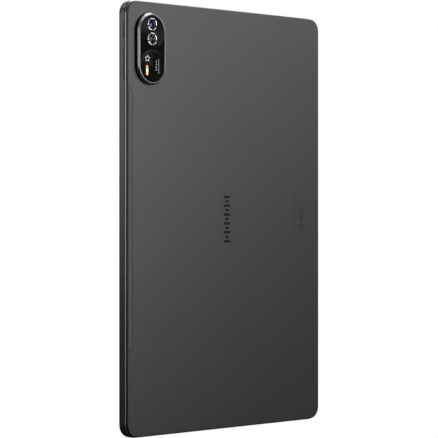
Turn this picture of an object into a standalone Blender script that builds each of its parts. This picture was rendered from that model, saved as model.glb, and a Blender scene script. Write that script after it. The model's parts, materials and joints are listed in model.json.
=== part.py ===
"""An eleven-inch tablet computer, modelled as an assembly of separate solids.

The tablet stands upright on its short lower edge. X runs across its width, Y through its
thickness and Z along its height: the screen faces -Y and the metal back faces +Y. The origin
is the middle of the lower edge, on the mid-plane of the casing. Seen from the front, the side
keys are on the right-hand edge (+X) and the card tray is on the left-hand edge (-X).

All sizes below are in millimetres; the helpers turn them into metres.
"""

import math

import bmesh
import bpy
from mathutils import Vector

MM = 0.001

# Casing
WIDTH = 168.5
HEIGHT = 257.0
THICKNESS = 7.4
CORNER = 8.0
WALL = 1.5
BACK_PLATE = 0.8
PLATE_INSET = 0.6
PLATE_EDGE = 0.4
BAND_CHAMFER = 0.4
FRONT_EDGE = 0.15
SIDE = WIDTH / 2
MIDDLE = HEIGHT / 2
BACK_Y = THICKNESS / 2
FRONT_Y = -THICKNESS / 2
INNER_BACK_Y = BACK_Y - BACK_PLATE
RIM_Y = -2.5
BAND_BACK_Y = 2.15
KEY_Y = -0.1
PORT_Y = -0.3
TRAY_FACE_Y = 0.0

# Clearances
SEAM = 0.1
FIT = 0.3
OVERSHOOT = 1.0

# Front: bezel ring, glass and display
BEZEL_INSET = 0.15
BEZEL_FACE_Y = -3.5
BEZEL_LEDGE_Y = -2.95
BEZEL_REAR_Y = -2.1
GLASS_INSET = 1.0
GLASS_THICKNESS = 0.65
OPENING_INSET = 5.0
LCD_WIDTH, LCD_HEIGHT, LCD_THICKNESS = 151.0, 239.0, 0.65
LIGHT_WIDTH, LIGHT_HEIGHT, LIGHT_THICKNESS = 151.6, 238.4, 1.0
FRONT_CAMERA_X = SIDE - 5.4
FRONT_CAMERA_SIZE = 5.0

# Antenna window, a plastic strip let into the back beside the long edge
WINDOW_OUTER_X = SIDE - 1.3
WINDOW_INNER_X = SIDE - 4.1
WINDOW_HALF = 77.3
WINDOW_TAPER = 3.4
WINDOW_CORNER = 4.0

# Camera island
ISLAND_X = SIDE - 18.0
ISLAND_Z = 228.8
ISLAND_WIDTH, ISLAND_HEIGHT = 23.0, 42.6
ISLAND_PROUD = 2.6
ISLAND_FOOT_Y = INNER_BACK_Y + SEAM
ISLAND_TOP_Y = BACK_Y + ISLAND_PROUD
ISLAND_RIM = 1.5
ISLAND_LEDGE = 1.0
ISLAND_GLASS_THICKNESS = 0.7
ISLAND_GLASS_TOP_Y = ISLAND_TOP_Y - 0.15
LENS_Z = {"upper": 243.1, "lower": 234.5}
LENS_RING_RADIUS = 4.1
LENS_RING_BORE = 2.85
LENS_RING_PROUD = 0.1
LENS_WINDOW_THICKNESS = 0.6
CAMERA_SIZE = 8.2
CAMERA_FRONT_Y = -0.6
CAMERA_REAR_Y = 2.7
BARREL_RADIUS = 2.8
BARREL_NOSE_RADIUS = 2.2
BARREL_SHOULDER_Y = 4.3
BARREL_TOP_Y = 5.0
FLASH_X, FLASH_Z = ISLAND_X + 4.2, 216.0
FLASH_WIDTH, FLASH_HEIGHT = 1.8, 5.9

# Side keys
KEY_WIDTH = 1.9
KEY_PROUD = 0.35
KEY_GAP = 0.12
KEY_FLANGE_X = SIDE - WALL - 0.4
KEY_FLANGE = 0.5
KEY_NUB = 0.6
POWER_Z, POWER_LENGTH = 239.2, 8.3
VOLUME_Z, VOLUME_LENGTH = 219.2, 16.4
VOLUME_NUB_SPACING = 10.0
SWITCH_X = (79.9, 80.95)
KEY_FLEX_X = (79.5, 79.8)

# Card tray
TRAY_Z = 224.0
TRAY_WIDTH = 13.0
TRAY_LENGTH = 31.5
TRAY_THICKNESS = 0.9
TRAY_Y = (0.0, TRAY_THICKNESS)
TRAY_PLATE = 1.2
TRAY_PLATE_LOW, TRAY_PLATE_HIGH = TRAY_Z - 7.3, TRAY_Z + 9.7
TRAY_PIN_Z = TRAY_Z + 8.1
SIM_CARD = (12.3, 8.8)

# Boards, battery and connectors
BOARD_Y = (1.5, 2.2)
BOARD_X, BOARD_Z = (-80.0, 53.0), (206.0, 240.0)
SUB_BOARD_Y = (0.9, 1.5)
SUB_BOARD_X, SUB_BOARD_Z = (-22.0, 22.0), (3.4, 18.0)
CELL_X, CELL_Z, CELL_Y = (8.5, 73.0), (40.0, 198.0), (-0.75, 2.6)
USB_OUTER, USB_INNER = (8.94, 3.26), (8.34, 2.56)
USB_DEPTH = 7.3
FLEX_THICKNESS = 0.15
SPEAKER_X = (22.0, 50.0)
SPEAKER_DEPTH = 11.0
SPEAKER_Y = (-0.95, 2.3)
SPEAKER_HOLES, SPEAKER_PITCH, SPEAKER_HOLE_RADIUS = 6, 2.9, 0.65
MICROPHONE_X = 13.0
SCREW_PLACES = ((-46.0, 237.0), (50.0, 209.0), (-19.0, 15.0), (19.0, 15.0))
SCREW_HEAD_RADIUS, SCREW_HEAD = 1.2, 0.5
SCREW_RADIUS, SCREW_TIP_Y = 0.6, 3.0
BOSS_RADIUS = 1.6


def clear_scene():
    for obj in list(bpy.data.objects):
        bpy.data.objects.remove(obj)


def collection(name, parent=None):
    made = bpy.data.collections.new(name)
    (parent or bpy.context.scene.collection).children.link(made)
    return made


def finish(name, colour, roughness, metallic=0.0):
    material = bpy.data.materials.new(name)
    material.use_nodes = True
    shader = material.node_tree.nodes["Principled BSDF"]
    shader.inputs["Base Color"].default_value = (*colour, 1.0)
    shader.inputs["Roughness"].default_value = roughness
    shader.inputs["Metallic"].default_value = metallic
    return material


clear_scene()
PARTS = collection("tablet_computer")
HELPERS = collection("helpers")

ALUMINIUM = finish("grey_aluminium", (0.105, 0.108, 0.112), 0.42, 0.9)
POLISHED = finish("polished_metal", (0.45, 0.46, 0.47), 0.18, 1.0)
STEEL = finish("tinned_steel", (0.55, 0.55, 0.54), 0.35, 1.0)
COPPER = finish("antenna_copper", (0.62, 0.34, 0.18), 0.35, 1.0)
GREY_PLASTIC = finish("grey_plastic", (0.085, 0.087, 0.09), 0.5)
BLACK_PLASTIC = finish("black_plastic", (0.012, 0.012, 0.013), 0.45)
GLASS = finish("black_glass", (0.006, 0.006, 0.007), 0.05)
CLEAR = finish("clear_glass", (0.55, 0.58, 0.6), 0.03)
LIGHT_GUIDE = finish("light_guide", (0.7, 0.7, 0.68), 0.4)
DISPLAY = finish("display_black", (0.01, 0.01, 0.012), 0.15)
BOARD = finish("circuit_board", (0.02, 0.09, 0.05), 0.5)
CHIP = finish("chip_resin", (0.02, 0.02, 0.022), 0.6)
FLEX = finish("polyimide_flex", (0.28, 0.13, 0.03), 0.4)
FOIL = finish("battery_foil", (0.06, 0.06, 0.065), 0.35, 0.4)
PHOSPHOR = finish("led_phosphor", (0.9, 0.72, 0.2), 0.5)
CARD = finish("card_plastic", (0.75, 0.75, 0.72), 0.5)


def place(name, mesh, origin, material):
    mesh.materials.append(material)
    obj = bpy.data.objects.new(name, mesh)
    obj.location = Vector(origin) * MM
    PARTS.objects.link(obj)
    return obj


def mesh_from(bm, name):
    mesh = bpy.data.meshes.new(name)
    bm.to_mesh(mesh)
    bm.free()
    return mesh


def block(name, x, y, z, material, corner=0.0, along="Y", steps=4, origin=None):
    """A box between limits, its four edges along one axis rounded to the corner radius."""
    low, high = Vector((x[0], y[0], z[0])), Vector((x[1], y[1], z[1]))
    middle = (low + high) / 2
    origin = middle if origin is None else Vector(origin)
    bm = bmesh.new()
    bmesh.ops.create_cube(bm, size=1.0)
    bmesh.ops.scale(bm, vec=(high - low) * MM, verts=bm.verts)
    bmesh.ops.translate(bm, vec=(middle - origin) * MM, verts=bm.verts)
    if corner:
        axis = "XYZ".index(along)
        edges = [e for e in bm.edges if abs((e.verts[1].co - e.verts[0].co).normalized()[axis]) > 0.9]
        bmesh.ops.bevel(bm, geom=edges, offset=corner * MM, segments=steps, profile=0.5, affect="EDGES")
        bmesh.ops.remove_doubles(bm, verts=bm.verts, dist=0.001 * MM)
    return place(name, mesh_from(bm, name), origin, material)


def around(middle, size):
    return (middle - size / 2, middle + size / 2)


def pill(name, x, z, width, height, y, material, steps=10):
    """An upright plate with round ends, centred on x and z."""
    return block(name, around(x, width), y, around(z, height), material, corner=width / 2, steps=steps)


def soften(obj, axis, side, width, steps=2):
    """Rounds the outline of the end face on one side of an axis."""
    bm = bmesh.new()
    bm.from_mesh(obj.data)
    end = max(side * v.co[axis] for v in bm.verts)
    rim = [e for e in bm.edges if all(abs(side * v.co[axis] - end) < 1e-7 for v in e.verts)]
    bmesh.ops.bevel(bm, geom=rim, offset=width * MM, segments=steps, profile=0.5, affect="EDGES")
    bm.to_mesh(obj.data)
    bm.free()


def smooth(obj, angle=35.0):
    obj.data.shade_smooth()
    obj.data.set_sharp_from_angle(angle=math.radians(angle))
    return obj


def rod(name, centre, radius, length, material, axis="Y", sides=24):
    """A cylinder about one axis, centred on a point."""
    bm = bmesh.new()
    bmesh.ops.create_cone(
        bm, cap_ends=True, segments=sides, radius1=radius * MM, radius2=radius * MM, depth=length * MM
    )
    obj = place(name, mesh_from(bm, name), centre, material)
    if axis == "X":
        obj.rotation_euler.y = math.radians(90)
    if axis == "Y":
        obj.rotation_euler.x = math.radians(-90)
    return smooth(obj)


def turned(name, centre, profile, material, closed=False, steps=32):
    """A shape turned about the Y axis. The profile holds (radius, height towards the back)."""
    bm = bmesh.new()
    points = [bm.verts.new((radius * MM, 0.0, height * MM)) for radius, height in profile]
    for first, second in zip(points, points[1:] + points[:1] if closed else points[1:]):
        bm.edges.new((first, second))
    obj = place(name, mesh_from(bm, name), centre, material)
    obj.rotation_euler.x = math.radians(-90)
    screw = obj.modifiers.new("turn", "SCREW")
    screw.steps = screw.render_steps = steps
    screw.use_merge_vertices = True
    screw.merge_threshold = 0.00001
    screw.use_smooth_shade = False
    return obj


def helper(obj):
    """Makes an object a cutter or an addition: drawn as wire and left out of the part."""
    PARTS.objects.unlink(obj)
    HELPERS.objects.link(obj)
    obj.hide_render = True
    obj.display_type = "WIRE"
    return obj


def combine(target, operation, helpers):
    group = collection(f"{operation.lower()}_{target.name}_{len(target.modifiers)}", HELPERS)
    for obj in helpers:
        helper(obj)
        HELPERS.objects.unlink(obj)
        group.objects.link(obj)
    modifier = target.modifiers.new(operation.lower(), "BOOLEAN")
    modifier.operation = operation
    modifier.operand_type = "COLLECTION"
    modifier.collection = group
    return target


def cut(target, *helpers):
    return combine(target, "DIFFERENCE", helpers)


def join(target, *helpers):
    return combine(target, "UNION", helpers)


def window_outline(grow=0.0):
    """The antenna window: long on its outer side, with sloping ends and rounded inner corners."""
    slope = math.atan2(WINDOW_TAPER, WINDOW_OUTER_X - WINDOW_INNER_X)
    outer, inner = WINDOW_OUTER_X + grow, WINDOW_INNER_X - grow
    lift, lean = grow / math.cos(slope), grow * math.tan(slope)
    tip, shoulder = WINDOW_HALF + lift + lean, WINDOW_HALF - WINDOW_TAPER + lift - lean
    radius = WINDOW_CORNER + grow
    turn = math.pi / 2 - slope
    centre_x, centre_z = inner + radius, shoulder - radius * math.tan(turn / 2)
    upper = [(outer, tip)]
    for step in range(5):
        angle = math.pi / 2 + slope + turn * step / 4
        upper.append((centre_x + radius * math.cos(angle), centre_z + radius * math.sin(angle)))
    return upper + [(x, -z) for x, z in reversed(upper)]


def flat_outline(name, points, y, material):
    """A flat outline in X and Z, given its thickness as an extruded 2D curve, made a mesh."""
    curve = bpy.data.curves.new(name, "CURVE")
    curve.dimensions = "2D"
    curve.fill_mode = "BOTH"
    curve.extrude = (y[1] - y[0]) / 2 * MM
    spline = curve.splines.new("POLY")
    spline.points.add(len(points) - 1)
    for point, (x, z) in zip(spline.points, points):
        point.co = (x * MM, z * MM, 0.0, 1.0)
    spline.use_cyclic_u = True
    source = bpy.data.objects.new(name, curve)
    source.location = (0.0, (y[0] + y[1]) / 2 * MM, MIDDLE * MM)
    source.rotation_euler.x = math.radians(90)
    PARTS.objects.link(source)
    bpy.context.view_layer.update()
    evaluated = source.evaluated_get(bpy.context.evaluated_depsgraph_get())
    mesh = bpy.data.meshes.new_from_object(evaluated)
    placing = source.matrix_world.copy()
    bpy.data.objects.remove(source)
    bm = bmesh.new()
    bm.from_mesh(mesh)
    bmesh.ops.remove_doubles(bm, verts=bm.verts, dist=0.0001 * MM)
    bm.to_mesh(mesh)
    bm.free()
    mesh.materials.clear()
    obj = place(name, mesh, (0, 0, 0), material)
    obj.matrix_world = placing
    return obj


def ribbon(name, x, path, thickness, material):
    """A flexible circuit: a path of (z, y) points, drawn out to its width along X."""
    curve = bpy.data.curves.new(name, "CURVE")
    curve.dimensions = "2D"
    curve.fill_mode = "NONE"
    curve.extrude = (x[1] - x[0]) / 2 * MM
    spline = curve.splines.new("POLY")
    spline.points.add(len(path) - 1)
    for point, (z, y) in zip(spline.points, path):
        point.co = (z * MM, y * MM, 0.0, 1.0)
    curve.materials.append(material)
    obj = bpy.data.objects.new(name, curve)
    obj.location.x = (x[0] + x[1]) / 2 * MM
    obj.rotation_euler = (0.0, math.radians(-90), 0.0)
    PARTS.objects.link(obj)
    solid = obj.modifiers.new("thickness", "SOLIDIFY")
    solid.thickness = thickness * MM
    solid.offset = 0.0
    return obj


def build_housing():
    """The aluminium tray: a side band and a raised back plate in one, with its openings and screw bosses."""
    housing = block(
        "rear_housing", (-SIDE, SIDE), (RIM_Y, BAND_BACK_Y), (0.0, HEIGHT), ALUMINIUM, corner=CORNER, steps=8
    )
    soften(housing, 1, 1, BAND_CHAMFER, 1)
    soften(housing, 1, -1, FRONT_EDGE, 2)
    smooth(housing, 25.0)
    edge = SIDE - PLATE_INSET
    plate = block(
        "back_plate", (-edge, edge), (BAND_BACK_Y - OVERSHOOT, BACK_Y), (PLATE_INSET, HEIGHT - PLATE_INSET),
        ALUMINIUM, corner=CORNER - PLATE_INSET, steps=8,
    )
    soften(plate, 1, 1, PLATE_EDGE, 2)
    join(housing, plate)
    inner = SIDE - WALL
    cavity = block(
        "cavity", (-inner, inner), (RIM_Y - OVERSHOOT, INNER_BACK_Y), (WALL, HEIGHT - WALL), ALUMINIUM,
        corner=CORNER - WALL, steps=8,
    )
    wall_x = (inner - OVERSHOOT, SIDE + OVERSHOOT)
    key_y = around(KEY_Y, KEY_WIDTH + 2 * KEY_GAP)
    tray_y = around(TRAY_FACE_Y, KEY_WIDTH + 2 * KEY_GAP)
    slots = [
        block(
            f"{name}_slot", wall_x, key_y, around(z, length + 2 * KEY_GAP), ALUMINIUM,
            corner=KEY_WIDTH / 2 + KEY_GAP, along="X",
        )
        for name, z, length in (("power", POWER_Z, POWER_LENGTH), ("volume", VOLUME_Z, VOLUME_LENGTH))
    ]
    tray_slot = block(
        "tray_slot", (-wall_x[1], -wall_x[0]), tray_y, (TRAY_PLATE_LOW - KEY_GAP, TRAY_PLATE_HIGH + KEY_GAP),
        ALUMINIUM, corner=KEY_WIDTH / 2 + KEY_GAP, along="X",
    )
    port = block(
        "port_opening", around(0, USB_INNER[0]), around(PORT_Y, USB_INNER[1]),
        (-OVERSHOOT, WALL + OVERSHOOT), ALUMINIUM, corner=USB_INNER[1] / 2, along="Z",
    )
    holes = []
    for end, edge_z in (("lower", WALL / 2), ("upper", HEIGHT - WALL / 2)):
        centres = [side * sum(SPEAKER_X) / 2 for side in (-1, 1)]
        for centre in centres:
            for index in range(SPEAKER_HOLES):
                x = centre + (index - (SPEAKER_HOLES - 1) / 2) * SPEAKER_PITCH
                name = f"speaker_hole_{end}_{len(holes)}"
                point = (x, PORT_Y, edge_z)
                holes.append(rod(name, point, SPEAKER_HOLE_RADIUS, 2 * WALL, ALUMINIUM, "Z", 10))
        point = (MICROPHONE_X, PORT_Y, edge_z)
        holes.append(rod(f"microphone_hole_{end}", point, 0.4, 2 * WALL, ALUMINIUM, "Z", 10))
    through = (INNER_BACK_Y - OVERSHOOT, BACK_Y + OVERSHOOT)
    island = pill(
        "island_opening", ISLAND_X, ISLAND_Z, ISLAND_WIDTH + 2 * SEAM, ISLAND_HEIGHT + 2 * SEAM, through,
        ALUMINIUM, steps=12,
    )
    window = flat_outline("window_opening", window_outline(SEAM), through, ALUMINIUM)
    cut(housing, cavity, *slots, tray_slot, port, *holes, island, window)
    boss_y = (BOARD_Y[1] + SEAM, INNER_BACK_Y + FIT)
    sub_boss_y = (SUB_BOARD_Y[1] + SEAM, INNER_BACK_Y + FIT)
    bosses, threads = [], []
    for index, (x, z) in enumerate(SCREW_PLACES):
        low, high = sub_boss_y if z < MIDDLE else boss_y
        centre = (x, (low + high) / 2, z)
        bosses.append(rod(f"boss_{index}", centre, BOSS_RADIUS, high - low, ALUMINIUM, sides=16))
        length = SCREW_TIP_Y + SEAM - low + OVERSHOOT
        middle = SCREW_TIP_Y + SEAM - length / 2
        centre = (x, middle, z)
        threads.append(rod(f"thread_{index}", centre, SCREW_RADIUS + SEAM, length, ALUMINIUM, sides=12))
    join(housing, *bosses)
    cut(housing, *threads)


def build_front():
    """The plastic bezel ring, the cover glass, the display cell and its backlight."""
    edge = SIDE - BEZEL_INSET
    bezel = block(
        "bezel_frame", (-edge, edge), (BEZEL_FACE_Y, RIM_Y - SEAM), (BEZEL_INSET, HEIGHT - BEZEL_INSET),
        BLACK_PLASTIC, corner=CORNER - BEZEL_INSET, steps=8,
    )
    soften(bezel, 1, -1, 0.25, 2)
    smooth(bezel)
    tongue = WALL + SEAM
    inner = block(
        "bezel_tongue", (-SIDE + tongue, SIDE - tongue), (BEZEL_LEDGE_Y, BEZEL_REAR_Y),
        (tongue, HEIGHT - tongue), BLACK_PLASTIC, corner=CORNER - tongue, steps=8,
    )
    pocket_inset = GLASS_INSET - SEAM
    pocket = block(
        "glass_pocket", (-SIDE + pocket_inset, SIDE - pocket_inset), (FRONT_Y - OVERSHOOT, BEZEL_LEDGE_Y),
        (pocket_inset, HEIGHT - pocket_inset), BLACK_PLASTIC, corner=CORNER - pocket_inset, steps=8,
    )
    opening = block(
        "display_opening", (-SIDE + OPENING_INSET, SIDE - OPENING_INSET), (FRONT_Y, 0.0),
        (OPENING_INSET, HEIGHT - OPENING_INSET), BLACK_PLASTIC, corner=3.0,
    )
    notch_size = FRONT_CAMERA_SIZE + 2 * FIT
    notch = block(
        "camera_notch", around(FRONT_CAMERA_X, notch_size), (FRONT_Y, 0.0), around(MIDDLE, notch_size),
        BLACK_PLASTIC,
    )
    join(bezel, inner)
    cut(bezel, pocket, opening, notch)
    glass_y = (FRONT_Y, FRONT_Y + GLASS_THICKNESS)
    glass = block(
        "cover_glass", (-SIDE + GLASS_INSET, SIDE - GLASS_INSET), glass_y,
        (GLASS_INSET, HEIGHT - GLASS_INSET), GLASS, corner=CORNER - GLASS_INSET, steps=8,
    )
    soften(glass, 1, -1, 0.3, 2)
    smooth(glass)
    lcd_front = glass_y[1] + 0.15
    lcd_y = (lcd_front, lcd_front + LCD_THICKNESS)
    light_y = (lcd_y[1] + 0.15, lcd_y[1] + 0.15 + LIGHT_THICKNESS)
    block("lcd_panel", around(0, LCD_WIDTH), lcd_y, around(MIDDLE, LCD_HEIGHT), DISPLAY)
    block(
        "backlight_unit", around(0, LIGHT_WIDTH), light_y, around(MIDDLE, LIGHT_HEIGHT), LIGHT_GUIDE,
        corner=1.0,
    )
    front = glass_y[1] + SEAM
    block(
        "front_camera_housing", around(FRONT_CAMERA_X, FRONT_CAMERA_SIZE), (front + 0.7, 1.4),
        around(MIDDLE, FRONT_CAMERA_SIZE), CHIP,
    )
    rod("front_camera_lens", (FRONT_CAMERA_X, front + 0.3, MIDDLE), 1.5, 0.6, CLEAR, sides=20)


def build_island():
    """The raised camera surround, its glass, and the lens rings, windows, cameras and flash under it."""
    ring = pill(
        "camera_island_ring", ISLAND_X, ISLAND_Z, ISLAND_WIDTH, ISLAND_HEIGHT, (ISLAND_FOOT_Y, ISLAND_TOP_Y),
        POLISHED, steps=12,
    )
    soften(ring, 1, 1, 0.6, 2)
    smooth(ring)
    seat_y = ISLAND_GLASS_TOP_Y - ISLAND_GLASS_THICKNESS - SEAM
    rim, ledge = 2 * ISLAND_RIM, 2 * (ISLAND_RIM + ISLAND_LEDGE)
    seat = pill(
        "glass_seat", ISLAND_X, ISLAND_Z, ISLAND_WIDTH - rim, ISLAND_HEIGHT - rim,
        (seat_y, ISLAND_TOP_Y + OVERSHOOT), POLISHED,
    )
    well = pill(
        "camera_well", ISLAND_X, ISLAND_Z, ISLAND_WIDTH - ledge, ISLAND_HEIGHT - ledge,
        (ISLAND_FOOT_Y - OVERSHOOT, ISLAND_TOP_Y), POLISHED,
    )
    cut(ring, seat, well)
    glass_gap = rim + 2 * SEAM
    glass = pill(
        "camera_island_glass", ISLAND_X, ISLAND_Z, ISLAND_WIDTH - glass_gap, ISLAND_HEIGHT - glass_gap,
        (seat_y + SEAM, ISLAND_GLASS_TOP_Y), GLASS,
    )
    through = (seat_y - OVERSHOOT, ISLAND_TOP_Y + OVERSHOOT)
    openings = [
        rod(
            f"lens_opening_{place_name}", (ISLAND_X, sum(through) / 2, z), LENS_RING_RADIUS + SEAM,
            through[1] - through[0], GLASS, sides=32,
        )
        for place_name, z in LENS_Z.items()
    ]
    openings.append(
        pill(
            "flash_opening", FLASH_X, FLASH_Z, FLASH_WIDTH + 2 * SEAM, FLASH_HEIGHT + 2 * SEAM, through,
            GLASS, steps=6,
        )
    )
    cut(glass, *openings)
    ring_foot = seat_y + SEAM
    ring_top = ISLAND_GLASS_TOP_Y + LENS_RING_PROUD
    ring_profile = (
        (LENS_RING_BORE, ring_top - 0.2),
        (LENS_RING_BORE + 0.3, ring_top),
        (LENS_RING_RADIUS - 0.25, ring_top),
        (LENS_RING_RADIUS, ring_top - 0.25),
        (LENS_RING_RADIUS, ring_foot),
        (LENS_RING_BORE, ring_foot),
    )
    for name, z in LENS_Z.items():
        turned(f"lens_ring_{name}", (ISLAND_X, 0, z), ring_profile, POLISHED, closed=True)
        middle = ISLAND_GLASS_TOP_Y - LENS_WINDOW_THICKNESS / 2 - 0.1
        rod(
            f"lens_window_{name}", (ISLAND_X, middle, z), LENS_RING_BORE - SEAM, LENS_WINDOW_THICKNESS,
            CLEAR, sides=32,
        )
    barrel_profile = (
        (0.0, BARREL_TOP_Y),
        (BARREL_NOSE_RADIUS, BARREL_TOP_Y),
        (BARREL_NOSE_RADIUS, BARREL_SHOULDER_Y),
        (BARREL_RADIUS, BARREL_SHOULDER_Y),
        (BARREL_RADIUS, CAMERA_FRONT_Y + 0.9),
        (0.0, CAMERA_FRONT_Y + 0.9),
    )
    for camera, z in (("main_camera", LENS_Z["upper"]), ("second_camera", LENS_Z["lower"])):
        body = block(
            f"{camera}_housing", around(ISLAND_X, CAMERA_SIZE), (CAMERA_FRONT_Y, CAMERA_REAR_Y),
            around(z, CAMERA_SIZE), CHIP, corner=0.4, steps=2,
        )
        bore_y = (CAMERA_FRONT_Y + 0.6, CAMERA_REAR_Y + OVERSHOOT)
        bore = rod(
            f"{camera}_bore", (ISLAND_X, sum(bore_y) / 2, z), BARREL_RADIUS + 0.2, bore_y[1] - bore_y[0],
            CHIP,
            sides=32,
        )
        cut(body, bore)
        turned(f"{camera}_barrel", (ISLAND_X, 0, z), barrel_profile, BLACK_PLASTIC, steps=28)
    window_y = (seat_y + SEAM, ISLAND_GLASS_TOP_Y)
    pill("flash_window", FLASH_X, FLASH_Z, FLASH_WIDTH, FLASH_HEIGHT, window_y, CLEAR, 6)
    block("flash_board", around(FLASH_X, 3.2), (3.0, 3.4), around(FLASH_Z, 6.8), BOARD)
    for name, offset in (("warm", 1.5), ("cool", -1.5)):
        block(f"flash_led_{name}", around(FLASH_X, 1.5), (3.5, 4.2), around(FLASH_Z + offset, 2.2), PHOSPHOR)


def build_window():
    flat_outline("antenna_window", window_outline(), (INNER_BACK_Y, BACK_Y), GREY_PLASTIC)


def build_key(name, z, length, nubs):
    """A side key: the cap that shows, a flange that keeps it in, and nubs that press the switches."""
    pivot_x = KEY_FLANGE_X - KEY_FLANGE / 2
    key = block(
        name, (pivot_x, SIDE + KEY_PROUD), around(KEY_Y, KEY_WIDTH), around(z, length), ALUMINIUM,
        corner=KEY_WIDTH / 2, along="X", origin=(pivot_x, KEY_Y, z),
    )
    soften(key, 0, 1, 0.2, 2)
    smooth(key)
    flange = block(
        f"{name}_flange", (KEY_FLANGE_X - KEY_FLANGE, KEY_FLANGE_X), around(KEY_Y, KEY_WIDTH + 0.9),
        around(z, length + 1.6), ALUMINIUM,
    )
    nub_x = (KEY_FLANGE_X - KEY_FLANGE - KEY_NUB, KEY_FLANGE_X - KEY_FLANGE / 2)
    pads = [
        block(f"{name}_nub_{index}", nub_x, around(KEY_Y, 1.2), around(nub_z, 2.0), ALUMINIUM)
        for index, nub_z in enumerate(nubs)
    ]
    join(key, flange, *pads)


def build_keys():
    volume_nubs = around(VOLUME_Z, VOLUME_NUB_SPACING)
    build_key("power_key", POWER_Z, POWER_LENGTH, (POWER_Z,))
    build_key("volume_key", VOLUME_Z, VOLUME_LENGTH, volume_nubs)
    switches = {
        "power_switch": POWER_Z,
        "volume_down_switch": volume_nubs[0],
        "volume_up_switch": volume_nubs[1],
    }
    for name, z in switches.items():
        block(name, SWITCH_X, around(KEY_Y, 2.2), around(z, 3.2), STEEL)
    block("key_flex", KEY_FLEX_X, around(KEY_Y, 2.6), (VOLUME_Z - 10.0, POWER_Z + 5.0), FLEX)


def build_tray():
    """The card tray that slides out of the left-hand edge, its card and the socket round it."""
    face_x = -SIDE
    tray = block(
        "sim_tray", (face_x, face_x + TRAY_PLATE), around(TRAY_FACE_Y, KEY_WIDTH),
        (TRAY_PLATE_LOW, TRAY_PLATE_HIGH), ALUMINIUM, corner=KEY_WIDTH / 2, along="X",
        origin=(face_x, TRAY_FACE_Y, TRAY_Z),
    )
    smooth(tray)
    frame = block(
        "tray_frame", (face_x + TRAY_PLATE / 2, face_x + TRAY_LENGTH), TRAY_Y, around(TRAY_Z, TRAY_WIDTH),
        ALUMINIUM,
    )
    join(tray, frame)
    sim_x = (face_x + TRAY_PLATE + 1.0, face_x + TRAY_PLATE + 1.0 + SIM_CARD[0] + 0.4)
    memory_x = (sim_x[1] + 1.0, face_x + TRAY_LENGTH - 0.8)
    deep = (TRAY_Y[0] - OVERSHOOT, TRAY_Y[1] + OVERSHOOT)
    sim_hole = block("sim_hole", sim_x, deep, around(TRAY_Z, SIM_CARD[1] + 0.4), ALUMINIUM)
    memory_hole = block("memory_hole", memory_x, deep, around(TRAY_Z, 11.2), ALUMINIUM)
    pin_hole = rod("pin_hole", (face_x, TRAY_FACE_Y, TRAY_PIN_Z), 0.45, 4.0, ALUMINIUM, "X", 12)
    cut(tray, sim_hole, memory_hole, pin_hole)
    block(
        "sim_card", (sim_x[0] + 0.2, sim_x[1] - 0.2), around(sum(TRAY_Y) / 2, 0.67),
        around(TRAY_Z, SIM_CARD[1]), CARD,
    )
    inner_end = face_x + TRAY_LENGTH + FIT
    socket = block(
        "sim_socket", (face_x + 4.5, inner_end + 0.8), (-0.4, BOARD_Y[0] - SEAM),
        around(TRAY_Z, TRAY_WIDTH + 2.4), STEEL,
    )
    room = block(
        "socket_room", (face_x, inner_end), (-0.1, BOARD_Y[1]), around(TRAY_Z, TRAY_WIDTH + 0.8), STEEL
    )
    cut(socket, room)


def can(name, x, y, z):
    """A drawn shield can, open towards the board at its rear."""
    obj = block(name, x, y, z, STEEL, corner=0.8, steps=2)
    bm = bmesh.new()
    bm.from_mesh(obj.data)
    rear = [f for f in bm.faces if f.normal.y > 0.9]
    bmesh.ops.delete(bm, geom=rear, context="FACES_ONLY")
    bm.to_mesh(obj.data)
    bm.free()
    solid = obj.modifiers.new("sheet", "SOLIDIFY")
    solid.thickness = 0.2 * MM
    solid.use_even_offset = True
    solid.offset = -1.0


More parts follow.
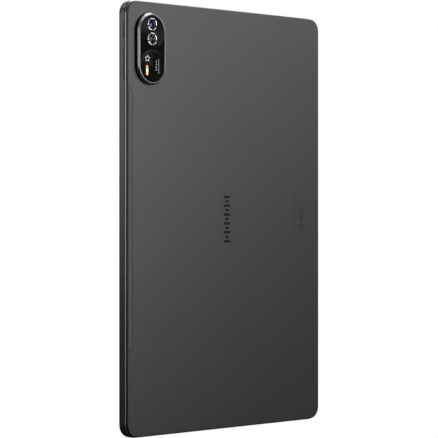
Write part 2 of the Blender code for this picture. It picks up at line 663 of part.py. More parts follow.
def build_electronics():
    """The main board with its chips and cans, the lower board with the port, and the flexes."""
    board = block("main_board", BOARD_X, BOARD_Y, BOARD_Z, BOARD, corner=1.5, steps=2)
    sub_board = block("sub_board", SUB_BOARD_X, SUB_BOARD_Y, SUB_BOARD_Z, BOARD, corner=1.5, steps=2)
    for target, low, high in ((board, MIDDLE, HEIGHT), (sub_board, 0.0, MIDDLE)):
        places = [(x, z) for x, z in SCREW_PLACES if low < z < high]
        holes = [
            rod(f"{target.name}_hole_{index}", (x, 1.5, z), SCREW_RADIUS + 0.2, 4.0, BOARD, sides=12)
            for index, (x, z) in enumerate(places)
        ]
        if target is sub_board:
            notch_x = around(0, USB_OUTER[0] + 2 * FIT)
            holes.append(block("port_notch", notch_x, (0.0, 3.0), (0.0, WALL + USB_DEPTH + FIT), BOARD))
        cut(target, *holes)
    chip_y = (0.6, BOARD_Y[0] - SEAM)
    block("processor_chip", (-24.0, -10.0), chip_y, (218.0, 232.0), CHIP)
    block("memory_chip", (-6.0, 6.0), chip_y, (219.0, 231.0), CHIP)
    block("power_chip", (-44.0, -36.0), chip_y, (214.0, 222.0), CHIP)
    can("processor_shield", (-30.0, 10.0), (0.1, chip_y[1]), (212.0, 238.0))
    can("radio_shield", (15.0, 47.0), (0.1, chip_y[1]), (219.0, 238.0))
    port_z = (FIT, USB_DEPTH + FIT)
    shell = block(
        "usb_c_shell", around(0, USB_OUTER[0]), around(PORT_Y, USB_OUTER[1]), (WALL + SEAM, WALL + USB_DEPTH),
        STEEL, corner=USB_OUTER[1] / 2, along="Z", steps=6,
    )
    mouth = block(
        "port_mouth", around(0, USB_INNER[0]), around(PORT_Y, USB_INNER[1]), (0.0, WALL + USB_DEPTH - 0.6),
        STEEL, corner=USB_INNER[1] / 2, along="Z", steps=6,
    )
    cut(shell, mouth)
    tongue_z = (port_z[0] + 1.0, WALL + USB_DEPTH - 0.6 - SEAM)
    block("usb_c_tongue", around(0, 6.69), around(PORT_Y, 0.7), tongue_z, BLACK_PLASTIC)
    link_route = ((211, 1.28), (206.5, 1.28), (200, 1.0), (24, 1.0), (18, 0.7), (11, 0.7))
    ribbon("link_flex", (-5.0, 5.0), link_route, FLEX_THICKNESS, FLEX)
    display_route = (
        (184, -0.95),
        (201, -0.95),
        (203.5, -0.6),
        (204.8, 0.2),
        (206.2, 1.0),
        (208.5, 1.28),
        (215, 1.28),
    )
    ribbon("display_flex", (20.0, 40.0), display_route, FLEX_THICKNESS, FLEX)


def build_battery():
    for side, sign in (("left", -1), ("right", 1)):
        x = tuple(sorted(sign * edge for edge in CELL_X))
        cell = block(f"battery_cell_{side}", x, CELL_Y, CELL_Z, FOIL, corner=1.0, along="Z", steps=3)
        smooth(cell)
    block("battery_protection_board", (-66.0, -8.0), (0.4, 1.2), (198.6, 203.4), BOARD)


def build_sound():
    """Four speaker boxes behind the grilles in the short edges, and two microphones."""
    for end, sign_z in (("lower", -1), ("upper", 1)):
        near = MIDDLE + sign_z * (MIDDLE - WALL - FIT)
        z = tuple(sorted((near, near - sign_z * SPEAKER_DEPTH)))
        for side, sign_x in (("left", -1), ("right", 1)):
            x = tuple(sorted(sign_x * edge for edge in SPEAKER_X))
            if end == "lower":
                x = tuple(edge + sign_x * 1.0 for edge in x)
            block(f"speaker_{end}_{side}", x, SPEAKER_Y, z, BLACK_PLASTIC, corner=1.2, steps=3)
        z = tuple(sorted((near, near - sign_z * 2.6)))
        y = (-0.9, 0.5)
        block(f"microphone_{end}", around(MICROPHONE_X, 3.5), y, z, STEEL)


def antenna_route():
    """The coaxial lead's path: from the main board down past the battery to the lower board."""
    left, y, bend = -77.5, 0.8, 6.0
    points = [(left, y, 204.5)]
    points += [(left, y, z) for z in (150.0, 100.0, 60.0)]
    centre_x, centre_z = left + bend, 24.0 + bend
    for step in range(7):
        angle = math.pi + math.pi / 2 * step / 6
        points.append((centre_x + bend * math.cos(angle), y, centre_z + bend * math.sin(angle)))
    points += [(x, y, 24.0) for x in (-60.0, -45.0, -30.0, -24.0)]
    return points


def build_antennas():
    curve = bpy.data.curves.new("antenna_cable", "CURVE")
    curve.dimensions = "3D"
    curve.bevel_depth = 0.4 * MM
    curve.bevel_resolution = 2
    curve.use_fill_caps = True
    route = antenna_route()
    spline = curve.splines.new("POLY")
    spline.points.add(len(route) - 1)
    for point, place_at in zip(spline.points, route):
        point.co = (*(Vector(place_at) * MM), 1.0)
    curve.materials.append(BLACK_PLASTIC)
    PARTS.objects.link(bpy.data.objects.new("antenna_cable", curve))
    block("wifi_antenna", (-79.0, -55.0), (2.3, 2.5), (243.0, 253.0), COPPER)
    block("cellular_antenna", (-79.0, -55.0), (2.3, 2.5), (4.0, 16.0), COPPER)


def build_screws():
    for index, (x, z) in enumerate(SCREW_PLACES):
        seat_y = (BOARD_Y if z > MIDDLE else SUB_BOARD_Y)[0] - SEAM
        profile = (
            (0.0, SCREW_TIP_Y),
            (SCREW_RADIUS, SCREW_TIP_Y),
            (SCREW_RADIUS, seat_y),
            (SCREW_HEAD_RADIUS, seat_y),
            (SCREW_HEAD_RADIUS, seat_y - SCREW_HEAD),
            (0.0, seat_y - SCREW_HEAD),
        )
        turned(f"screw_{index + 1}", (x, 0, z), profile, STEEL, steps=12)


build_housing()
build_front()
build_window()
build_island()
build_keys()
build_tray()
build_electronics()
build_battery()
build_sound()
build_antennas()
build_screws()
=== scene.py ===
import json
import math

import bmesh
import bpy
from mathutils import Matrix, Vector


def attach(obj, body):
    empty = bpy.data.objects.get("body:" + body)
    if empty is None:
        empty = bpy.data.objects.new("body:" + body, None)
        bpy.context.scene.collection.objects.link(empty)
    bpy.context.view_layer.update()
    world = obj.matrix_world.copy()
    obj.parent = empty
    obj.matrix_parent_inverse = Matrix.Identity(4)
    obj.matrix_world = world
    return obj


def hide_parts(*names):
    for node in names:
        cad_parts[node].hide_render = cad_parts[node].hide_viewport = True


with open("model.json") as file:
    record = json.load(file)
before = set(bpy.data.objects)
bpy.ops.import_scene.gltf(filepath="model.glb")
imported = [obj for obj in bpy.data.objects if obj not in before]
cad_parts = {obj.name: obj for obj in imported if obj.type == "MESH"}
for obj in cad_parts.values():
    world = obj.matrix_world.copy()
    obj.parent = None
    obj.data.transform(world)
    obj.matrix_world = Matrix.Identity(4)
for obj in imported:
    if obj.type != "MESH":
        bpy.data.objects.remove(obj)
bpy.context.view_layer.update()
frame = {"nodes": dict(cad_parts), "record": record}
nodes = frame["nodes"]

MM = 0.001

# The casing, in millimetres. X is the width, Y the thickness (back at +Y), Z the height.
SIDE, HEIGHT, BACK, FRONT = 84.25, 257.0, 3.7, -3.7
MIDDLE = HEIGHT / 2
CORNER = 8.0
RIM = -2.5
INNER_BACK = 2.9
WALL = 1.5
PLATE_INSET, PLATE_EDGE = 0.6, 0.42
BEZEL_INSET, GLASS_INSET = 0.15, 1.0
FRONT_CAMERA_X = SIDE - 5.4
KEY_Y, PORT_Y, TRAY_Y = -0.1, -0.3, 0.0
ISLAND_X, ISLAND_Z = SIDE - 18.0, 228.8
ISLAND_HALF = (11.5, 21.3)
ISLAND_RIM = 1.5
GLASS_TOP = 6.15
LENS_Z = {"upper": 243.1, "lower": 234.5}
DISC_Z = (238.8, 218.4)
DISC_RADIUS = 9.55
FLASH_X, FLASH_Z = ISLAND_X + 4.2, 216.0
STRIP_OUTER, STRIP_INNER = SIDE - 1.3, SIDE - 4.1
STRIP_HALF, STRIP_TAPER, STRIP_CORNER = 77.3, 3.4, 4.0

# The keys' middles up the edge, their lengths, and the play round each in its slot.
POWER_Z, POWER_LENGTH = 239.2, 8.3
VOLUME_Z, VOLUME_LENGTH = 219.2, 16.4
TRAY_Z, TRAY_LENGTH = 225.2, 17.0
PLAY = 0.12

# Faces larger than this, in square metres, are shaded flat.
FLAT_AREA = 60e-6


# ---------------------------------------------------------------- materials


class Surface:
    """A Principled material whose colour, roughness and relief come from procedural noise."""

    def __init__(self, name, colour, roughness, metallic=0.0, **sockets):
        self.material = bpy.data.materials.new(name)
        self.material.use_nodes = True
        self.tree = self.material.node_tree
        self.shader = self.tree.nodes["Principled BSDF"]
        self.colour = colour
        self.shader.inputs["Base Color"].default_value = (*colour, 1.0)
        self.shader.inputs["Roughness"].default_value = roughness
        self.shader.inputs["Metallic"].default_value = metallic
        for socket, value in sockets.items():
            self.shader.inputs[socket.replace("_", " ")].default_value = value
        self.place = self.node("ShaderNodeTexCoord").outputs["Object"]
        self.factor = None
        self.relief = None

    def node(self, kind, **settings):
        made = self.tree.nodes.new(kind)
        for key, value in settings.items():
            setattr(made, key, value)
        return made

    def link(self, source, target):
        self.tree.links.new(source, target)
        return self

    def math(self, operation, *values, clamp=False):
        made = self.node("ShaderNodeMath", operation=operation, use_clamp=clamp)
        for index, value in enumerate(values):
            if isinstance(value, (int, float)):
                made.inputs[index].default_value = value
            else:
                self.link(value, made.inputs[index])
        return made.outputs[0]

    def noise(self, size, detail=3.0, stretch=(1, 1, 1)):
        """Noise whose features are about size millimetres across, from 0 to 1."""
        scaling = self.node("ShaderNodeMapping")
        scaling.inputs["Scale"].default_value = tuple(1 / (size * MM * s) for s in stretch)
        self.link(self.place, scaling.inputs["Vector"])
        made = self.node("ShaderNodeTexNoise")
        made.inputs["Scale"].default_value = 1.0
        made.inputs["Detail"].default_value = detail
        self.link(scaling.outputs["Vector"], made.inputs["Vector"])
        return made.outputs["Fac"]

    def tint(self, source, amount):
        """Makes the colour lighter and darker with a 0 to 1 source."""
        swing = self.math("MULTIPLY_ADD", source, 2 * amount, 1 - amount)
        self.factor = swing if self.factor is None else self.math("MULTIPLY", self.factor, swing)
        scale = self.node("ShaderNodeVectorMath", operation="SCALE")
        scale.inputs[0].default_value = self.colour
        self.link(self.factor, scale.inputs["Scale"])
        self.link(scale.outputs[0], self.shader.inputs["Base Color"])
        return self

    def rough(self, source, low, high):
        """Takes the roughness from low to high with a 0 to 1 source."""
        self.link(self.math("MULTIPLY_ADD", source, high - low, low), self.shader.inputs["Roughness"])
        return self

    def bump(self, source, depth, strength=1.0):
        """Relief of depth millimetres."""
        made = self.node("ShaderNodeBump")
        made.inputs["Strength"].default_value = strength
        made.inputs["Distance"].default_value = depth * MM
        self.link(source, made.inputs["Height"])
        if self.relief is not None:
            self.link(self.relief, made.inputs["Normal"])
        self.relief = made.outputs["Normal"]
        self.link(self.relief, self.shader.inputs["Normal"])
        return self


def satin_metal(name, colour, roughness=0.4):
    """Bead-blasted, anodised aluminium."""
    made = Surface(name, colour, roughness, 0.75)
    grain = made.noise(0.16, 2.0)
    made.tint(grain, 0.10).tint(made.noise(42.0, 2.0), 0.035)
    made.rough(made.noise(0.5, 3.0), roughness - 0.05, roughness + 0.05)
    return made.bump(grain, 0.006, 0.5).material


def turned_metal(name, colour, roughness=0.16, along=(1, 1, 1)):
    """Diamond-cut, polished metal with faint tool lines."""
    made = Surface(name, colour, roughness, 1.0)
    lines = made.noise(0.08, 2.0, along)
    made.tint(made.noise(6.0), 0.05)
    made.rough(lines, roughness - 0.06, roughness + 0.08)
    return made.bump(lines, 0.002, 0.4).material


def moulded(name, colour, roughness=0.45, grain_mm=0.12, depth=0.008, specular=0.5, **sockets):
    """Moulded plastic or ink with a fine spark-eroded texture."""
    made = Surface(name, colour, roughness, Specular_IOR_Level=specular, **sockets)
    grain = made.noise(grain_mm, 2.0)
    made.tint(made.noise(9.0), 0.08)
    made.rough(grain, roughness - 0.07, roughness + 0.09)
    return made.bump(grain, depth, 0.5).material


def sheet_metal(name, colour, roughness=0.32):
    """Rolled sheet with faint lines across it."""
    made = Surface(name, colour, roughness, 1.0)
    lines = made.noise(0.25, 3.0, (14, 1, 1))
    made.tint(lines, 0.10).tint(made.noise(5.0), 0.06)
    made.rough(lines, roughness - 0.08, roughness + 0.10)
    return made.bump(lines, 0.003, 0.4).material


def board_face(name):
    """Green solder resist with buried tracks and pale pads."""
    made = Surface(name, (0.012, 0.075, 0.035), 0.42, Coat_Weight=0.3, Coat_Roughness=0.2)
    tracks = made.node("ShaderNodeTexBrick")
    tracks.offset = 0.37
    sizes = (("Scale", 420.0), ("Mortar Size", 0.012), ("Brick Width", 1.7), ("Row Height", 0.22))
    for socket, value in sizes:
        tracks.inputs[socket].default_value = value
    turn = made.node("ShaderNodeMapping")
    turn.inputs["Rotation"].default_value = (math.radians(90), 0.0, 0.0)
    made.link(made.place, turn.inputs["Vector"])
    made.link(turn.outputs["Vector"], tracks.inputs["Vector"])
    made.tint(tracks.outputs["Fac"], 0.28).tint(made.noise(3.0), 0.12)
    return made.bump(tracks.outputs["Fac"], 0.02, 0.5).material


def foil(name):
    """The battery's creased pouch."""
    made = Surface(name, (0.035, 0.036, 0.04), 0.38, 0.5)
    creases = made.noise(7.0, 4.0)
    made.tint(creases, 0.15)
    made.rough(made.noise(0.6), 0.30, 0.46)
    return made.bump(creases, 0.12, 0.5).material


def film(name, colour):
    """Flexible film with buried tracks."""
    made = Surface(name, colour, 0.35, Coat_Weight=0.6, Coat_Roughness=0.15)
    tracks = made.noise(0.35, 1.0, (1, 1, 40))
    made.tint(tracks, 0.35)
    return made.bump(tracks, 0.01, 0.5).material


def coated(name, colour, roughness, **sockets):
    """Glass, coating or ink with a faint unevenness in its colour and polish."""
    made = Surface(name, colour, roughness, **sockets)
    made.tint(made.noise(1.5), 0.06)
    return made.rough(made.noise(4.0, 2.0), roughness * 0.8, roughness * 1.25).material


def disc_distance(made, centre_x, centre_z):
    """Distance in metres from a centre in the X and Z plane, and the offsets it comes from."""
    parts = made.node("ShaderNodeSeparateXYZ")
    made.link(made.place, parts.inputs[0])
    across = made.math("SUBTRACT", parts.outputs["X"], centre_x * MM)
    up = made.math("SUBTRACT", parts.outputs["Z"], centre_z * MM)
    square = made.math("ADD", made.math("MULTIPLY", across, across), made.math("MULTIPLY", up, up))
    return made.math("SQRT", square), across, up


def painted_sheen_fan(made, distance, across, up, direction, sharpness):
    """A painted sheen: a fan of brightness round a centre, where concentric brushing would reflect
    light, painted into the colour.
    """
    sideways_part = made.math("MULTIPLY", across, direction[0])
    along = made.math("ADD", sideways_part, made.math("MULTIPLY", up, direction[1]))
    cosine = made.math("DIVIDE", along, made.math("ADD", distance, 1e-5), clamp=True)
    return made.math("POWER", cosine, sharpness)


def island_glass(name):
    """Black glass over two brushed discs, one round the lenses and one round the flash, with fans of
    the discs' reflected light painted into the colour as a fixed painted sheen.
    """
    made = Surface(name, (0.0065, 0.0066, 0.0072), 0.07, IOR=1.46, Specular_IOR_Level=0.3)
    total = None
    # Each painted sheen fan's direction, sharpness and gain.
    upper_painted_sheen = (((0.80, 0.60), 3.0, 4.2), ((-0.94, -0.34), 3.0, 3.4), ((-0.5, 0.87), 2.0, 0.7))
    lower_painted_sheen = (((0.62, 0.78), 4.0, 3.4), ((-0.98, -0.2), 3.0, 0.5))
    for centre_z, lobes in zip(DISC_Z, (upper_painted_sheen, lower_painted_sheen)):
        distance, across, up = disc_distance(made, ISLAND_X, centre_z)
        inside = made.math("LESS_THAN", distance, DISC_RADIUS * MM)
        for direction, sharpness, gain in lobes:
            fan = painted_sheen_fan(made, distance, across, up, direction, sharpness)
            lit = made.math("MULTIPLY", made.math("MULTIPLY", fan, inside), gain)
            total = lit if total is None else made.math("ADD", total, lit)
    # The painted sheen lightens the glass's colour inside each disc.
    made.factor = made.math("ADD", total, 1.0)
    made.tint(made.noise(2.0), 0.04)
    return made.rough(made.noise(8.0), 0.015, 0.035).material


def screen_glass(name):
    """Glass with a black printed border, and the switched-off display a shade paler within it."""
    made = Surface(name, (0.0045, 0.0047, 0.0055), 0.05, IOR=1.5, Coat_Weight=0.4, Coat_Roughness=0.03)
    parts = made.node("ShaderNodeSeparateXYZ")
    made.link(made.place, parts.inputs[0])
    across = made.math("ABSOLUTE", parts.outputs["X"])
    up = made.math("ABSOLUTE", made.math("SUBTRACT", parts.outputs["Z"], MIDDLE * MM))
    half_x, half_z = 75.3, 119.3
    within_x = made.math("LESS_THAN", across, half_x * MM)
    inside = made.math("MULTIPLY", within_x, made.math("LESS_THAN", up, half_z * MM))
    made.factor = made.math("MULTIPLY_ADD", inside, 1.1, 1.0)
    made.tint(made.noise(30.0), 0.05)
    return made.rough(made.noise(25.0, 2.0), 0.035, 0.07).material


def flash_painted_glow(name):
    """The switched-off flash seen through its window, a warm lamp above and a yellow one below a white
    middle, with a painted glow from emission.
    """
    made = Surface(name, (1.0, 0.9, 0.7), 0.35, Coat_Weight=1.0, Coat_Roughness=0.05)
    parts = made.node("ShaderNodeSeparateXYZ")
    made.link(made.place, parts.inputs[0])
    half = 2.9
    height = made.math("SUBTRACT", parts.outputs["Z"], (FLASH_Z - half) * MM)
    ramp = made.node("ShaderNodeValToRGB")
    stops = ((0.0, (0.95, 0.80, 0.25)), (0.26, (0.95, 0.60, 0.01)), (0.42, (1.0, 0.97, 0.85)),
             (0.62, (1.0, 0.95, 0.85)), (0.74, (0.80, 0.22, 0.02)), (1.0, (1.0, 0.50, 0.18)))
    ramp.color_ramp.elements[1].position = 1.0
    for position, colour in stops[1:-1]:
        ramp.color_ramp.elements.new(position)
    for element, (position, colour) in zip(ramp.color_ramp.elements, stops):
        element.position = position
        element.color = (*colour, 1.0)
    made.link(made.math("DIVIDE", height, 2 * half * MM, clamp=True), ramp.inputs["Fac"])
    made.link(ramp.outputs["Color"], made.shader.inputs["Base Color"])
    # Painted glow: the switched-off flash is given emission in its own colours.
    made.link(ramp.outputs["Color"], made.shader.inputs["Emission Color"])
    made.shader.inputs["Emission Strength"].default_value = 0.55
    return made.bump(made.noise(0.5), 0.01, 0.3).material


HOUSING = satin_metal("grey_anodised_metal", (0.060, 0.061, 0.064), 0.40)
BAND = satin_metal("grey_anodised_band", (0.075, 0.076, 0.079), 0.33)
# Near black: the dark joints, with painted shade in the housing's recess, the island's step and the
# lens trims' notches.
GAP_AND_SHADE = moulded("dark_gap_painted_shade", (0.002, 0.002, 0.002), 0.7, specular=0.1)
CHAMFER = turned_metal("diamond_cut_edge", (0.42, 0.43, 0.44), 0.28, (1, 1, 6))
BRIGHT = turned_metal("polished_trim", (0.62, 0.63, 0.64), 0.18, (4, 4, 4))
ISLAND_EDGE = turned_metal("island_cut_edge", (0.32, 0.325, 0.33), 0.26, (4, 4, 4))
# Painted shade: the island's outer wall is this polished metal coloured near black.
ISLAND_WALL_SHADE = turned_metal("island_wall_painted_shade", (0.020, 0.020, 0.021), 0.18, (4, 4, 4))
STRIP = moulded("antenna_plastic", (0.052, 0.053, 0.056), 0.46)
BEZEL = moulded("black_bezel_plastic", (0.008, 0.008, 0.009), 0.38)
BLACK = moulded("black_moulding", (0.010, 0.010, 0.011), 0.42)
ISLAND_GLASS = island_glass("black_island_glass_painted_sheen")
SCREEN = screen_glass("screen_glass")
# Painted highlight: the pale grey of the discs' rim lines.
DISC_EDGE = coated("disc_rim_painted_highlight", (0.055, 0.056, 0.060), 0.3)
OPTIC = coated("lens_glass", (0.80, 0.83, 0.90), 0.02, Transmission_Weight=1.0, IOR=1.2)
FRONT_LENS = coated("front_lens_coating", (0.006, 0.008, 0.02), 0.03, Coat_Weight=1.0)
BARREL = moulded("barrel_black", (0.006, 0.006, 0.007), 0.5, 0.05, 0.004)
# Painted glints: the coloured reflections of the lens coatings, given as colour and emission.
BLUE_GLINT_ELEMENT = coated("blue_element_painted_glint", (0.01, 0.05, 0.30), 0.08, Coat_Weight=1.0,
                      Emission_Color=(0.03, 0.16, 0.8, 1.0), Emission_Strength=0.35)
ROSE_GLINT_ELEMENT = coated("rose_element_painted_glint", (0.16, 0.05, 0.035), 0.08, Coat_Weight=1.0,
                      Emission_Color=(1.0, 0.45, 0.35, 1.0), Emission_Strength=0.12)
FLASH = flash_painted_glow("flash_window_painted_glow")
DARK_PRINT = moulded("dark_print", (0.004, 0.004, 0.005), 0.6, specular=0.12)
FAINT_PRINT = moulded("faint_print", (0.006, 0.006, 0.007), 0.55, specular=0.15)
# White print, with a painted glow from emission.
PALE_PRINT_GLOW = moulded("pale_print_painted_glow", (0.90, 0.90, 0.90), 0.4, Emission_Color=(1.0, 1.0, 1.0, 1.0),
                     Emission_Strength=0.35)
GREY_PRINT = moulded("grey_print", (0.55, 0.55, 0.56), 0.4)
TIN = sheet_metal("tinned_sheet", (0.55, 0.55, 0.54))
GOLD = sheet_metal("gold_plate", (0.85, 0.58, 0.22), 0.25)
COPPER = sheet_metal("etched_copper", (0.62, 0.30, 0.16), 0.3)
BOARD = board_face("circuit_board_face")
RESIN = moulded("chip_resin_face", (0.016, 0.016, 0.018), 0.5)
FLEX = film("amber_film", (0.25, 0.10, 0.02))
FOIL = foil("pouch_foil")
PHOSPHOR = moulded("lamp_phosphor", (0.85, 0.62, 0.10), 0.5)
CARD = moulded("card_face", (0.62, 0.62, 0.60), 0.4)
WHITE_FILM = film("light_guide_film", (0.6, 0.6, 0.58))
PANEL = coated("panel_black", (0.008, 0.008, 0.010), 0.12)

SLOT_LOOKS = {
    "grey_aluminium": BAND, "polished_metal": BRIGHT, "tinned_steel": TIN, "antenna_copper": COPPER,
    "grey_plastic": STRIP, "black_plastic": BLACK, "black_glass": SCREEN, "clear_glass": OPTIC,
    "display_black": PANEL, "circuit_board": BOARD, "chip_resin": RESIN, "polyimide_flex": FLEX,
    "battery_foil": FOIL, "led_phosphor": PHOSPHOR, "card_plastic": CARD, "light_guide": WHITE_FILM,
}


# ---------------------------------------------------------------- shapes


def outline(half_x, half_z, radius, steps=18):
    """A rounded rectangle round the origin, as points in two dimensions."""
    points = []
    for quarter, (sign_x, sign_z) in enumerate(((1, 1), (-1, 1), (-1, -1), (1, -1))):
        centre = (sign_x * (half_x - radius), sign_z * (half_z - radius))
        for step in range(steps + 1):
            angle = math.pi / 2 * (quarter + step / steps)
            points.append((centre[0] + radius * math.cos(angle),
                           centre[1] + radius * math.sin(angle)))
    return points


def circle(radius, steps=96):
    """A circle round the origin, as points in two dimensions."""
    angles = [2 * math.pi * i / steps for i in range(steps)]
    return [(radius * math.cos(angle), radius * math.sin(angle)) for angle in angles]


def upright(points, y, x=0.0, z=MIDDLE):
    """Points in the X and Z plane, at height y of the thickness."""
    return [(x + px, y, z + pz) for px, pz in points]


def sideways(points, x, y, z):
    """Points in the Y and Z plane, at x."""
    return [(x, y + py, z + pz) for py, pz in points]


def finish_mesh(obj, sharp=32.0):
    """Smooth shading between near-level faces, with large and many-sided faces kept flat."""
    obj.data.shade_smooth()
    obj.data.set_sharp_from_angle(angle=math.radians(sharp))
    for polygon in obj.data.polygons:
        if len(polygon.vertices) > 4 or polygon.area > FLAT_AREA:
            polygon.use_smooth = False
    return obj


def build(name, bm, materials, sharp=32.0):
    """Turns a bmesh into an object in the scene."""
    bmesh.ops.remove_doubles(bm, verts=bm.verts, dist=1e-7)
    bmesh.ops.recalc_face_normals(bm, faces=bm.faces)
    mesh = bpy.data.meshes.new(name)
    bm.to_mesh(mesh)
    bm.free()
    for material in materials:
        mesh.materials.append(material)
    obj = bpy.data.objects.new(name, mesh)
    bpy.context.scene.collection.objects.link(obj)
    return finish_mesh(obj, sharp)


def add_loft(bm, rings, bands=None, closed=False):
    """Skins rings that have the same number of points, with a cap at each end unless closed."""
    loops = [[bm.verts.new(Vector(p) * MM) for p in ring] for ring in rings]
    pairs = list(zip(loops, loops[1:])) + ([(loops[-1], loops[0])] if closed else [])
    count = len(loops[0])
    for index, (first, second) in enumerate(pairs):
        for i in range(count):
            j = (i + 1) % count
            face = bm.faces.new((first[i], first[j], second[j], second[i]))
            face.material_index = bands[index] if bands else 0
    if not closed:
        for loop, band in ((loops[0], 0), (loops[-1], -1)):
            face = bm.faces.new(loop)
            face.material_index = bands[band] if bands else 0


def loft(name, rings, materials, bands=None, closed=False, sharp=32.0):
    """One lofted solid as a piece. bands gives each stretch between two rings its material."""
    bm = bmesh.new()
    add_loft(bm, rings, bands, closed)
    return build(name, bm, materials, sharp)


def lofts(name, solids, materials, sharp=32.0):
    """Several lofted solids as one piece."""
    bm = bmesh.new()
    for rings in solids:
        add_loft(bm, rings)
    return build(name, bm, materials, sharp)


def rounding(inset, level, radius, rise, steps=5, start=0.0, end=90.0):
    """Part of a rounded edge as (inset, level): from the side, turning in towards the face."""
    points = []
    for step in range(steps + 1):
        angle = math.radians(start + (end - start) * step / steps)
        points.append((inset + radius * (1 - math.cos(angle)), level + rise * radius * math.sin(angle)))
    return points


def pad(points, low, high, edge, place):
    """Rings of a flat solid with rounded rims, from points(inset) and place(points, level)."""
    levels = [(edge, low), (0.0, low + edge)] + rounding(0.0, high - edge, edge, 1, 3)
    return [place(points(inset), level) for inset, level in levels]


def carve(obj, *cutters):
    """Cuts solids out of a piece for good."""
    for cutter in cutters:
        modifier = obj.modifiers.new("cut", "BOOLEAN")
        modifier.operation = "DIFFERENCE"
        modifier.solver = "EXACT"
        modifier.object = cutter
    bpy.context.view_layer.update()
    evaluated = obj.evaluated_get(bpy.context.evaluated_depsgraph_get())
    mesh = bpy.data.meshes.new_from_object(evaluated)
    obj.modifiers.clear()
    obj.data = mesh
    for cutter in cutters:
        bpy.data.objects.remove(cutter)
    return finish_mesh(obj)


def keep(obj, body, slot, *replaced):
    """Puts a piece on its body, in place of the CAD nodes it stands for. The slot argument is not used.
    """
    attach(obj, body)
    if replaced:
        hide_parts(*replaced)
    return obj


def strip_outline(grow=0.0):
    """The antenna strip: long on its outer side, with sloping ends and rounded inner corners."""
    slope = math.atan2(STRIP_TAPER, STRIP_OUTER - STRIP_INNER)
    outer, inner = STRIP_OUTER + grow, STRIP_INNER - grow
    lift, lean = grow / math.cos(slope), grow * math.tan(slope)
    tip, shoulder = STRIP_HALF + lift + lean, STRIP_HALF - STRIP_TAPER + lift - lean
    radius = STRIP_CORNER + grow
    turn = math.pi / 2 - slope
    centre_x, centre_z = inner + radius, shoulder - radius * math.tan(turn / 2)
    upper = [(outer, tip)]
    for step in range(17):
        angle = math.pi / 2 + slope + turn * step / 16
        upper.append((centre_x + radius * math.cos(angle), centre_z + radius * math.sin(angle)))
    return upper + [(x, -z) for x, z in reversed(upper)]


def case_ring(inset, level):
    """The casing's outline, drawn in by inset, at a level of the thickness."""
    return upright(outline(SIDE - inset, MIDDLE - inset, CORNER - inset), level)


# ---------------------------------------------------------------- casing


def make_housing():
    """The metal tray: flat side band, cut bright edge, a dark gap between band and back plate coloured
    near black, partly a dark joint and partly painted shade, and the raised back plate.
    """
    metal, band, gap_shade, bright = 0, 1, 2, 3
    edge = rounding(PLATE_INSET, BACK - PLATE_EDGE, PLATE_EDGE, 1, 6)
    run = [(metal, point) for point in reversed(edge)] + [(metal, (PLATE_INSET, 2.72))]
    run += [(gap_shade, (0.66, 2.67)), (gap_shade, (1.1, 2.64)), (gap_shade, (1.1, 2.0))]
    run += [(gap_shade, (0.52, 2.12)), (bright, (0.48, 2.15)), (bright, (0.02, 1.68))]
    run += [(gap_shade, (0.0, 1.64)), (gap_shade, (0.30, 1.50)), (gap_shade, (0.30, 1.10)), (band, (0.0, 0.92))]
    run += [(band, (0.0, -2.28)), (band, (0.05, -2.42)), (band, (0.16, RIM)), (band, (WALL, RIM))]
    run += [(metal, (WALL, INNER_BACK))]
    rings = [case_ring(*point) for _, point in run]
    bands = [kind for kind, _ in run[1:]]
    shell = loft("rear_shell", rings, [HOUSING, BAND, GAP_AND_SHADE, CHAMFER], bands)
    reach = (SIDE - WALL - 1.0, SIDE + 1.0)
    slot_radius = 1.07

    def side_cut(name, sign, y, z, length):
        section = outline(slot_radius, length / 2 + PLAY, slot_radius, 12)
        return loft(name, [sideways(section, sign * x, y, z) for x in reach], [GAP_AND_SHADE])

    cutters = [
        side_cut("cut_power", 1, KEY_Y, POWER_Z, POWER_LENGTH),
        side_cut("cut_volume", 1, KEY_Y, VOLUME_Z, VOLUME_LENGTH),
        side_cut("cut_tray", -1, TRAY_Y, TRAY_Z, TRAY_LENGTH),
    ]
    port = [[(x, PORT_Y + y, z) for x, y in outline(4.17, 1.28, 1.28, 12)] for z in (-1.0, 3.0)]
    cutters.append(loft("cut_port", port, [GAP_AND_SHADE]))
    speaker_x, pitch, speaker_radius = 36.0, 2.9, 0.65
    microphone_x, microphone_radius = 13.0, 0.4
    row = [speaker_x + (i - 2.5) * pitch for i in range(6)]
    holes = [(sign * x, speaker_radius) for sign in (-1, 1) for x in row]
    holes.append((microphone_x, microphone_radius))
    for z_low in (-1.0, HEIGHT - 2.5):
        for x, radius in holes:
            section = circle(radius, 24)
            hole = [[(x + px, PORT_Y + py, z) for px, py in section] for z in (z_low, z_low + 3.5)]
            cutters.append(loft("cut_hole", hole, [GAP_AND_SHADE]))
    through = (INNER_BACK - 1.0, BACK + 1.0)
    opening = [stadium_ring(-0.1, y) for y in through]
    cutters.append(loft("cut_island", opening, [GAP_AND_SHADE]))
    cutters.append(loft("cut_strip", [upright(strip_outline(0.18), y) for y in through], [GAP_AND_SHADE]))
    carve(shell, *cutters)
    return keep(shell, "tablet", "grey_aluminium", "rear_housing")


def make_strip():
    """The antenna strip, with a fine rounded edge."""
    run = [(-0.12, INNER_BACK), (0.0, INNER_BACK), (0.0, BACK - 0.06), (-0.05, BACK - 0.01)]
    rings = [upright(strip_outline(min(grow, 0.0)), y) for grow, y in run]
    strip = loft("antenna_strip", rings, [STRIP])
    return keep(strip, "tablet", "grey_plastic", "antenna_window")


